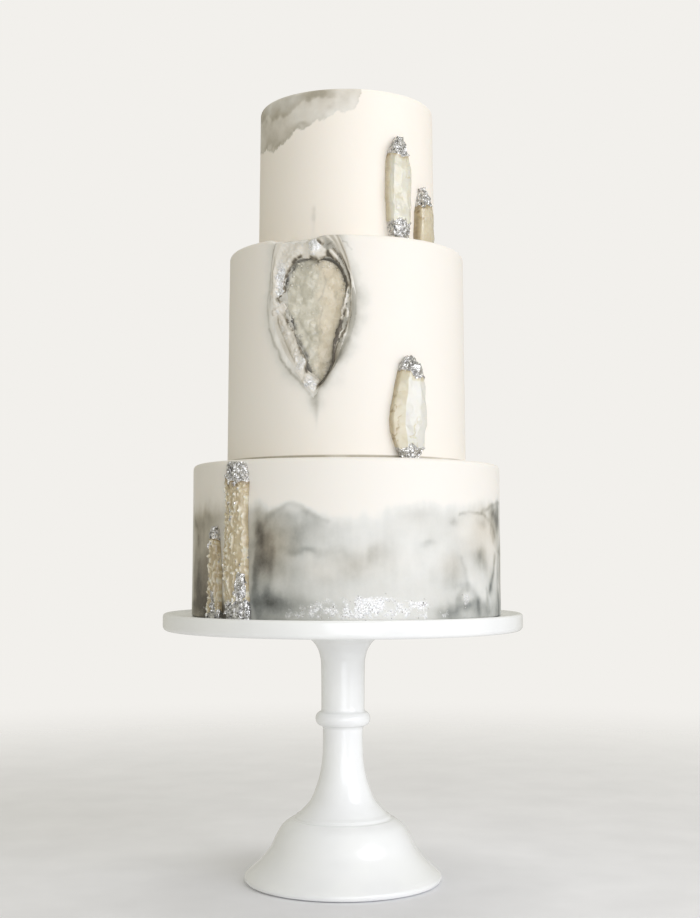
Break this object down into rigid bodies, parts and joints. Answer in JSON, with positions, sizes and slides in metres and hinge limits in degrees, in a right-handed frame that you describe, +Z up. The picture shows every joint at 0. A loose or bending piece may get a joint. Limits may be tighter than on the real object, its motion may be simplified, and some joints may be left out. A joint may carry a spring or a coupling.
{
  "type": "tiered wedding cake on a stand",
  "caption": "Round tiered wedding cake with a crystal-lined geode hollow and poured-sugar shards, standing on a white pedestal cake stand.",
  "frame": {"origin": "on the stand's axis, on the surface the foot stands on", "axes": "+Z up, front of the cake (the geode) towards -Y, +X to the viewer's right"},
  "size_m": [0.305, 0.305, 0.6566],
  "materials": {
    "melamine": "glossy moulded white",
    "sugarpaste": "smooth satin sugarpaste with a grey watercolour wash",
    "rock_sugar": "cloudy faceted sugar crystals",
    "poured_sugar": "glossy translucent champagne sugar",
    "silver_leaf": "crumpled edible silver leaf"
  },
  "bodies": {
    "root": {"cake_stand": "melamine", "bottom_tier": "sugarpaste", "middle_tier": "sugarpaste", "top_tier": "sugarpaste", "geode_crystals": "rock_sugar", "geode_rim": "silver_leaf", "shard_top_tall": "poured_sugar", "shard_top_short": "poured_sugar", "shard_middle": "poured_sugar", "shard_bottom_tall": "poured_sugar", "shard_bottom_short": "poured_sugar"}
  },
  "joints": []
}
